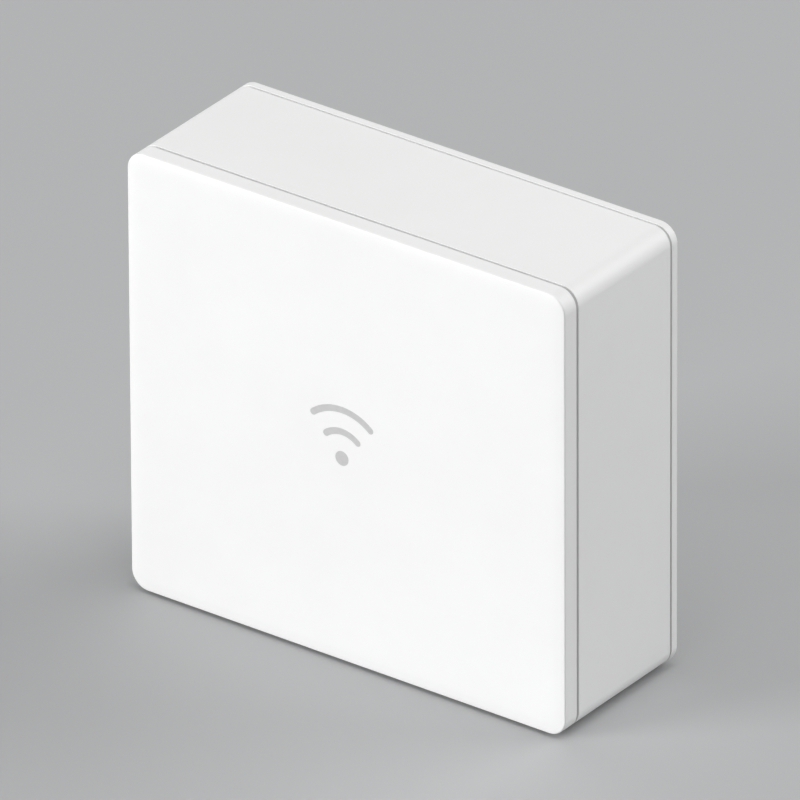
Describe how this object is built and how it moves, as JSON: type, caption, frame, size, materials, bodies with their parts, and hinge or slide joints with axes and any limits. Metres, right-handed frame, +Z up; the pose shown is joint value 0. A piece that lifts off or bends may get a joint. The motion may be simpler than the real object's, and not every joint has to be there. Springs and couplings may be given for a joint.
{
  "type": "smart home hub",
  "caption": "Small white smart home hub that stands upright, with a lit front mark, a side pairing button, rear network and power sockets and a clip-on wall plate.",
  "frame": {"origin": "on the surface the hub stands on, under the middle of its case", "axes": "+Z up, -Y out of the front face, +Y out of the wall plate, +X to the right of someone facing the front"},
  "size_m": [0.1, 0.0358, 0.0929],
  "materials": {
    "shell_white": "fine satin texture, as moulded",
    "mark_grey": "smooth translucent grey",
    "foot_rubber": "matt",
    "label_film": "blank silver-grey film",
    "board_green": "solder mask over glass fibre",
    "tin_plate": "tinned sheet",
    "pad_grey": "soft matt",
    "aluminium": "rolled sheet",
    "cream_plastic": "smooth",
    "black_plastic": "fine matt, glass filled",
    "cable_jacket": "smooth jacket",
    "gold_plate": "gold flash",
    "battery_wrap": "shrink film",
    "screw_steel": "zinc plated"
  },
  "bodies": {
    "hub_body": {"front_cover": "shell_white", "status_light_guide": "mark_grey", "main_housing": "shell_white", "foot_front_left": "foot_rubber", "foot_front_right": "foot_rubber", "foot_rear_left": "foot_rubber", "foot_rear_right": "foot_rubber", "rating_label": "label_film", "main_board": "board_green", "processor_shield": "tin_plate", "thermal_pad": "pad_grey", "heat_spreader": "aluminium", "radio_shield": "tin_plate", "status_led": "cream_plastic", "antenna_top": "board_green", "antenna_right": "board_green", "antenna_cable_top": "cable_jacket", "antenna_cable_right": "cable_jacket", "ethernet_shield": "tin_plate", "ethernet_socket": "black_plastic", "ethernet_contacts": "gold_plate", "ethernet_transformer": "black_plastic", "power_inlet": "black_plastic", "power_inlet_pin": "gold_plate", "power_inductor": "black_plastic", "power_capacitor": "aluminium", "reset_switch": "black_plastic", "pairing_switch": "black_plastic", "speaker": "black_plastic", "speaker_lead": "cable_jacket", "backup_battery": "battery_wrap", "battery_socket": "cream_plastic", "battery_plug": "cream_plastic", "battery_lead": "cable_jacket", "case_screw_lower_left": "screw_steel", "case_screw_lower_right": "screw_steel", "case_screw_upper_left": "screw_steel", "case_screw_upper_right": "screw_steel", "board_screw_lower_left": "screw_steel", "board_screw_lower_right": "screw_steel", "board_screw_upper_left": "screw_steel", "board_screw_upper_right": "screw_steel"},
    "wall_plate_body": {"wall_plate": "shell_white"},
    "pairing_button_body": {"pairing_button": "shell_white"},
    "pairing_plunger_body": {"pairing_switch_plunger": "cream_plastic"},
    "reset_plunger_body": {"reset_plunger": "cream_plastic"}
  },
  "joints": [
    {"name": "wall_plate_pull", "type": "slide", "parent": "hub_body", "child": "wall_plate_body", "axis": [0, 1, 0], "range_m": [0, 0.03]},
    {"name": "pairing_button_press", "type": "slide", "parent": "hub_body", "child": "pairing_button_body", "axis": [1, 0, 0], "range_m": [0, 0.0005], "stiffness_N_per_m": 3000, "springref_m": -0.0002},
    {"name": "pairing_plunger_press", "type": "slide", "parent": "hub_body", "child": "pairing_plunger_body", "axis": [1, 0, 0], "range_m": [0, 0.0005]},
    {"name": "reset_press", "type": "slide", "parent": "hub_body", "child": "reset_plunger_body", "axis": [0, -1, 0], "range_m": [0, 0.0003], "stiffness_N_per_m": 4000, "springref_m": -0.0002}
  ],
  "couplings": [
    {"joint": "pairing_plunger_press", "follows": "pairing_button_press", "ratio": 1}
  ]
}
